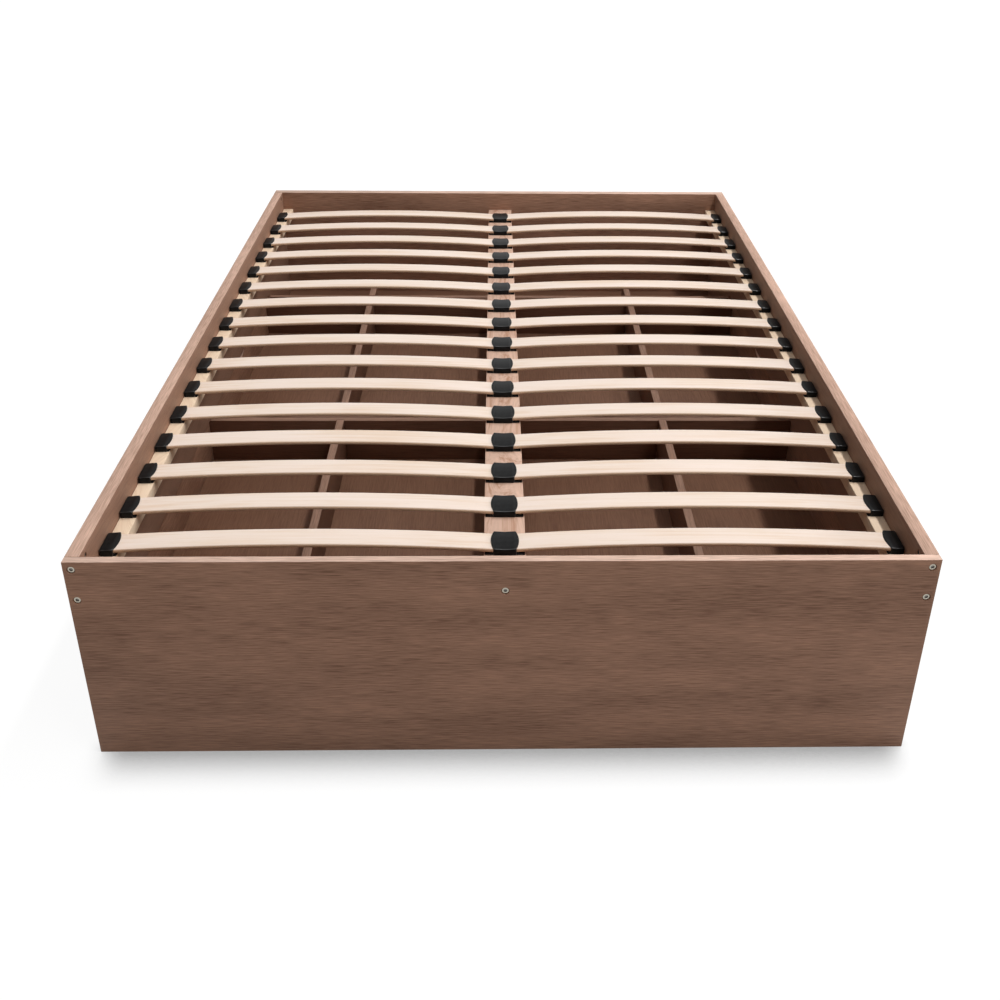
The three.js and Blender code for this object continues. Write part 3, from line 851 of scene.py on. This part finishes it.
def make_caps(first, name, node):
    """The first cap and its copies, one to each row."""
    bpy.context.view_layer.update()
    caps = [first]
    caps += [linked_copy(first, name % number) for number in range(2, ROWS + 1)]
    for cap, y in zip(caps, row_middles()):
        cap.location.y = y
    bpy.context.view_layer.update()
    for cap in caps:
        settle(cap, "base", [node])


def make_strip(name, node, material, slot, height, x_from, x_to):
    """The wooden strip of a bearer or rail, whose top the caps stand on. Gives that height."""
    low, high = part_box(node)
    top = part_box("slat_right_01")[0].z - SLAT_SEAT
    outline = rectangle(x_from, top - height, x_to, top)
    made = prism(outline, "Y", low.y, high.y, STRIP_ARRIS, STRIP_ARRIS_STEPS)
    settle(make_object(name, made, material), "base", [node])
    return top


def make_bearer(side, sign):
    """A bearer with its side caps and the screws in its inner face."""
    node = side + "_bearer"
    outer = near_and_far(*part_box(node))[1]
    inner = outer - BEARER_WIDTH
    edges = sorted((sign * outer, sign * inner))
    name = side + "_bearer_strip"
    top = make_strip(name, node, bearer_wood, "bearer_wood", BEARER_HEIGHT, *edges)
    corner = CAP_BACK_CORNER
    plan = tongue_points(SIDE_CAP_GRIP)
    plan += [(corner, CAP_HALF_WIDTH), (0, CAP_HALF_WIDTH - corner)]
    plan += [(0, corner - CAP_HALF_WIDTH), (corner, -CAP_HALF_WIDTH)]
    reach = SIDE_CAP_GRIP + CAP_TONGUE
    made = moulded_cap(plan, lambda x: max(reach - x, 0) * CAP_SLOPE, reach)
    wall = outer + SEAT_GAP - SIDE_CAP_PANEL_GAP
    name = side + "_side_cap_%02d"
    cap = make_object(name % 1, made, black_nylon)
    carve(cap, pocket(wall - slat_middle()))
    unite(cap, base_plate(corner, SIDE_PLATE_WIDTH))
    turn = Matrix.Rotation(math.pi if sign > 0 else 0, 4, "Z")
    cap.matrix_world = Matrix.Translation((sign * wall, 0, top)) @ turn
    make_caps(cap, name, node)
    for number, y in enumerate(row_middles()[:-1], start=1):
        screw = make_slotted_head(
            side + "_bearer_screw_%02d" % number, BEARER_SCREW_RADIUS, BEARER_SCREW_DEPTH,
            *BEARER_SCREW_SLOT,
        )
        x, z = sign * (inner - BEARER_SCREW_RISE), top - BEARER_SCREW_DROP
        screw.matrix_world = upright((x, y + BEARER_SCREW_OFFSET, z), Vector((-sign, 0, 0)))
        settle(screw, "base")


def make_centre_rail():
    """The flat middle rail with its barrel-shaped caps, dished where the slats slope down to it."""
    node = "centre_rail"
    half = RAIL_WIDTH / 2
    name = "centre_rail_strip"
    top = make_strip(name, node, rail_wood, "rail_wood", RAIL_HEIGHT, -half, half)
    shoulder = CENTRE_CAP_GRIP / 2
    arc = tongue_points(shoulder)
    plan = arc + [(-x, -y) for x, y in arc]
    reach = shoulder + CAP_TONGUE
    made = moulded_cap(plan, lambda x: max(reach - abs(x), 0) * CAP_SLOPE, reach)
    name = "centre_cap_%02d"
    cap = make_object(name % 1, made, black_nylon)
    carve(cap, join([pocket(sign * slat_middle()) for sign in SIDES.values()]))
    unite(cap, base_plate(-BASE_PLATE_WIDTH / 2, BASE_PLATE_WIDTH / 2))
    cap.location = (0, 0, top)
    make_caps(cap, name, node)


# Drawers.


def mirrored(outline, sign):
    return [(sign * u, v) for u, v in outline]


def make_front(body):
    """A drawer front with a smooth hollow in its top edge."""
    node = body + "_front"
    low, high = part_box(node)
    middle = (low.y + high.y) / 2
    outline = [(low.y, low.z), (high.y, low.z), (high.y, high.z)]
    for step in range(GRIP_STEPS, -1, -1):
        share = 2 * step / GRIP_STEPS - 1
        dip = GRIP_DEPTH * (1 + math.cos(math.pi * share)) / 2
        outline.append((middle + share * GRIP_WIDTH / 2, high.z - dip))
    outline.append((low.y, high.z))
    piece = make_object(body + "_front_board", prism(outline, "X", low.x, high.x), board["Y"])
    # The top faces get the lighter colour, in part painted light.
    face_material(piece, edge_band_and_top_light["Y"], lambda face: face.normal.z > 0.5)
    settle(piece, body, [node])


def make_box(body, sign):
    """The two sides and the back of a drawer, as the three boards that they are."""
    node = body + "_box"
    low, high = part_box(node)
    back, front = near_and_far(low, high)
    divider_near, divider_far = near_and_far(*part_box(body + "_divider"))
    slot_near, slot_far = divider_near - SEAT_GAP, divider_far + SEAT_GAP
    for label, outer, step in (("foot_side", low.y, 1), ("head_side", high.y, -1)):
        inner = outer + step * WALL_THICKNESS
        housing = inner - step * HOUSING_DEPTH
        outline = [
            (back, outer), (front, outer), (front, inner), (slot_far, inner), (slot_far, housing),
            (slot_near, housing), (slot_near, inner), (back, inner),
        ]
        made = prism(mirrored(outline, sign), "Z", low.z, high.z)
        piece = make_object(body + "_" + label, made, inner_wall["X"])
        # The walls' top edges get the lighter colour, in part painted light.
        face_material(piece, inner_band_and_top_light["X"], is_top(high.z))
        settle(piece, body, [node])
    wall = WALL_THICKNESS
    outline = rectangle(back, low.y + wall, back + wall, high.y - wall)
    made = prism(mirrored(outline, sign), "Z", low.z, high.z)
    piece = make_object(body + "_back", made, inner_wall["Y"])
    face_material(piece, inner_band_and_top_light["Y"], is_top(high.z))
    settle(piece, body, [node])


def castor_bracket(top):
    """A plate with its top at that height and two cheeks about Z, the axle along Y."""
    axle = CASTOR_FLOOR_GAP + WHEEL_RADIUS
    near = WHEEL_WIDTH / 2 + CHEEK_GAP
    far = near + CHEEK_THICKNESS
    plate_x, plate_y = WHEEL_RADIUS + PLATE_MARGIN, far + PLATE_MARGIN
    under = top - PLATE_THICKNESS
    outline = rectangle(-plate_x, -plate_y, plate_x, plate_y)
    parts = [prism(outline, "Z", under, top, PLATE_ARRIS)]
    cheek = [(WHEEL_RADIUS, under), (-WHEEL_RADIUS, under)]
    for step in range(CHEEK_STEPS + 1):
        angle = math.pi * (1 + step / CHEEK_STEPS)
        cheek.append((CHEEK_FOOT * math.cos(angle), axle + CHEEK_FOOT * math.sin(angle)))
    for low, high in ((-far, -near), (near, far)):
        parts.append(prism(cheek, "Y", low, high, CHEEK_ARRIS))
    return join(parts)


def wheel():
    """A wheel about Z with a rounded tread and a hollowed hub on both faces."""
    half = WHEEL_WIDTH / 2
    dish = half - DISH_DEPTH
    profile = [
        (AXLE_RADIUS, half),
        (HUB_RADIUS - HUB_EDGE, half), (HUB_RADIUS, half - HUB_EDGE), (HUB_RADIUS + HUB_EDGE, dish),
        (RIM_RADIUS - RIM_EDGE, dish), (RIM_RADIUS, half - HUB_EDGE), (RIM_RADIUS + RIM_EDGE, half),
    ]
    for step in range(TREAD_STEPS + 1):
        angle = math.pi / 2 * (1 - step / TREAD_STEPS)
        profile.append((
            WHEEL_RADIUS - TREAD_CURVE * (1 - math.cos(angle)),
            half - TREAD_CURVE * (1 - math.sin(angle)),
        ))
    profile += [(radius, -height) for radius, height in reversed(profile)]
    return loft([ring(radius, height, WHEEL_POINTS) for radius, height in profile])


def axle_pin():
    """An axle about Z that ends just short of the cheeks' outer faces."""
    reach = WHEEL_WIDTH / 2 + CHEEK_GAP + CHEEK_THICKNESS - AXLE_CLEARANCE
    radius = AXLE_RADIUS - AXLE_CLEARANCE
    end_radius, end = radius - AXLE_EDGE, reach - AXLE_EDGE
    return loft([
        ring(end_radius, -reach), ring(radius, -end), ring(radius, end), ring(end_radius, reach),
    ])


def make_castors(body, sign, top):
    """Four castors under a drawer, each with a bracket, a wheel and an axle."""
    low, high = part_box(body + "_box")
    back, front = near_and_far(low, high)
    places = [
        (x, y) for x in (back + CASTOR_INSET, front - CASTOR_INSET)
        for y in (low.y + CASTOR_INSET, high.y - CASTOR_INSET)
    ]
    turn = Matrix.Rotation(math.pi / 2, 4, "X")
    for number, (x, y) in enumerate(places, start=1):
        label = body + "_castor_%d" % number
        place = Vector((sign * x, y, 0))
        bracket = make_object(label + "_bracket", castor_bracket(top), castor_plastic, place)
        settle(bracket, body, [body + "_bottom"])
        hub = Matrix.Translation(place + Vector((0, 0, CASTOR_FLOOR_GAP + WHEEL_RADIUS))) @ turn
        tread = make_object(label + "_wheel", wheel(), wheel_tread)
        tread.matrix_world = hub
        settle(tread, body, [body + "_bottom"])
        axle = make_object(label + "_axle", axle_pin(), zinc)
        axle.matrix_world = hub
        settle(axle, body, [body + "_bottom"])


def make_bottom(body, sign):
    """A drawer's bottom board, under its box, with the castors."""
    low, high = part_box(body + "_box")
    top = low.z - SEAT_GAP
    outline = rectangle(low.x, low.y, high.x, high.y)
    made = prism(outline, "Z", top - BOTTOM_THICKNESS, top)
    piece = make_object(body + "_bottom_board", made, inner_board["Y"])
    settle(piece, body, [body + "_bottom"])
    make_castors(body, sign, top - BOTTOM_THICKNESS)


def make_drawers():
    for side, sign in SIDES.items():
        for end in DRAWER_ENDS:
            body = side + "_" + end + "_drawer"
            make_front(body)
            make_box(body, sign)
            make_bottom(body, sign)
            make_board(body + "_divider", body, "Y")


# The studio.


def make_floor():
    """A pale floor that keeps the lamps' shadow and has a painted shadow along the foot panel; it
    shows white elsewhere, but not under the bed.
    """
    made = bmesh.new()
    reach = FLOOR_REACH
    made.faces.new([made.verts.new((x, y, 0)) for x, y in rectangle(-reach, -reach, reach, reach)])
    graph = Graph("studio_floor")
    graph.tree.nodes.remove(graph.shader)
    output = graph.tree.nodes["Material Output"]
    place = graph.add("ShaderNodeTexCoord").outputs["Object"]
    parts = graph.add("ShaderNodeSeparateXYZ", {"Vector": place}).outputs
    sideways = graph.math("ABSOLUTE", parts["X"])
    lengthways = graph.math("ABSOLUTE", parts["Y"])
    beside = graph.blend_between(sideways, *UNDER_BED_X)
    beyond = graph.blend_between(lengthways, *UNDER_BED_Y)
    shown = graph.math("MULTIPLY", seen(graph), graph.math("MAXIMUM", beside, beyond))
    tone = graph.mix(shown, FLOOR_GREY, FLOOR_GREY_SEEN)
    diffuse = graph.add("ShaderNodeBsdfDiffuse", {"Color": tone})

    # How bright it shows: nearly white, a little more so far away, and darker along the foot panel,
    # where a shadow is painted in from ambient occlusion.
    away = graph.add("ShaderNodeVectorMath", {0: place}, operation="LENGTH").outputs["Value"]
    limits = {
        "Value": away, "From Min": FADE_REACH[0], "From Max": FADE_REACH[1],
        "To Min": FADE_GLOW[0], "To Max": FADE_GLOW[1],
    }
    full_glow = graph.add("ShaderNodeMapRange", limits).outputs["Result"]
    contact = graph.add(
        "ShaderNodeAmbientOcclusion", {"Distance": CONTACT_REACH}, samples=CONTACT_SAMPLES
    ).outputs["AO"]
    closed = graph.math("SUBTRACT", 1.0, graph.blend_between(contact, *CONTACT_OPEN))
    across = graph.blend_between(sideways, *FOOT_SHADE_X)
    in_front = graph.math("MULTIPLY", across, graph.blend_between(parts["Y"], *FOOT_SHADE_Y))
    clear = graph.math("SUBTRACT", 1.0, graph.math("MULTIPLY", closed, in_front))
    strength = graph.math("MULTIPLY", shown, graph.spread(clear, CONTACT_GLOW, full_glow))
    glow = graph.add("ShaderNodeEmission", {"Color": (1, 1, 1, 1), "Strength": strength})
    both = graph.add("ShaderNodeAddShader", {0: diffuse.outputs[0], 1: glow.outputs[0]})
    graph.set(output.inputs["Surface"], both.outputs[0])
    make_object("studio_floor", made, graph.material)


def seen(graph):
    """One for rays from the camera and those that gloss or glass sends on, and zero for others."""
    rays = graph.add("ShaderNodeLightPath").outputs
    glossy = graph.math("MAXIMUM", rays["Is Camera Ray"], rays["Is Glossy Ray"])
    return graph.math("MAXIMUM", glossy, rays["Is Transmission Ray"])


class WorldGraph(Graph):
    """The nodes of the world around the scene."""

    def __init__(self, world):
        world.use_nodes = True
        self.tree = world.node_tree
        self.shader = self.tree.nodes["Background"]


def make_world():
    """White for what the camera sees, and a dimmer white for what lights the object."""
    world = bpy.data.worlds.new("studio")
    bpy.context.scene.world = world
    graph = WorldGraph(world)
    graph.set(graph.shader.inputs["Color"], (1, 1, 1, 1))
    graph.set(graph.shader.inputs["Strength"], graph.spread(seen(graph), AMBIENT, 1.0))


def make_light(name, place, aim, size, length, power):
    lamp = bpy.data.lights.new(name, "AREA")
    lamp.shape = "RECTANGLE"
    lamp.size = size
    lamp.size_y = length
    lamp.energy = power
    light = bpy.data.objects.new(name, lamp)
    light.location = place
    back = Vector(place) - Vector(aim)
    light.rotation_euler = back.to_track_quat("Z", "Y").to_euler()
    bpy.context.collection.objects.link(light)
    return light


def let_through(light, names):
    """Leaves pieces out of what blocks a lamp's light."""
    group = bpy.data.collections.new(light.name + "_passes")
    for name in names:
        group.objects.link(bpy.data.objects[name])
    light.light_linking.blocker_collection = group
    for member in group.collection_objects:
        member.light_linking.link_state = "EXCLUDE"


def make_camera():
    """The photograph's camera."""
    camera = bpy.data.cameras.new("camera")
    camera.sensor_width = SENSOR_WIDTH
    camera.lens = FOCAL_SHARE * SENSOR_WIDTH
    camera.shift_x = -AXIS_RIGHT_SHARE
    camera.shift_y = -AXIS_UP_SHARE
    pitch_cos = math.cos(CAMERA_PITCH)
    forward = Vector((
        math.sin(CAMERA_YAW) * pitch_cos, math.cos(CAMERA_YAW) * pitch_cos, -math.sin(CAMERA_PITCH)
    ))
    level = Vector((math.cos(CAMERA_YAW), -math.sin(CAMERA_YAW), 0))
    below = forward.cross(level)
    turn, lean = math.cos(CAMERA_ROLL), math.sin(CAMERA_ROLL)
    right = turn * level + lean * below
    down = -lean * level + turn * below
    rig = bpy.data.objects.new("camera", camera)
    rig.matrix_world = Matrix((
        (right.x, -down.x, -forward.x, CAMERA_PLACE.x),
        (right.y, -down.y, -forward.y, CAMERA_PLACE.y),
        (right.z, -down.z, -forward.z, CAMERA_PLACE.z),
        (0, 0, 0, 1),
    ))
    bpy.context.collection.objects.link(rig)
    bpy.context.scene.camera = rig


make_camera()
make_world()
lamps = {name: make_light(name, *settings) for name, settings in LAMPS.items()}
make_floor()
make_end_board("foot_panel", -1)
make_end_board("head_panel", 1)
for side_name, side_sign in SIDES.items():
    make_side_panel(side_name, side_sign)
    make_bearer(side_name, side_sign)
    make_board(side_name + "_head_bay_brace", "base", "Y")
make_centre_rail()
make_slats()
make_drawers()
make_board("centre_support_panel", "base", "Y")
make_board("rear_cross_panel", "base", "X")
make_board("head_bay_floor", "base", "X", banded=False)
let_through(lamps["strip"], STRIP_PASSES)
bpy.context.scene.view_settings.view_transform = "Standard"
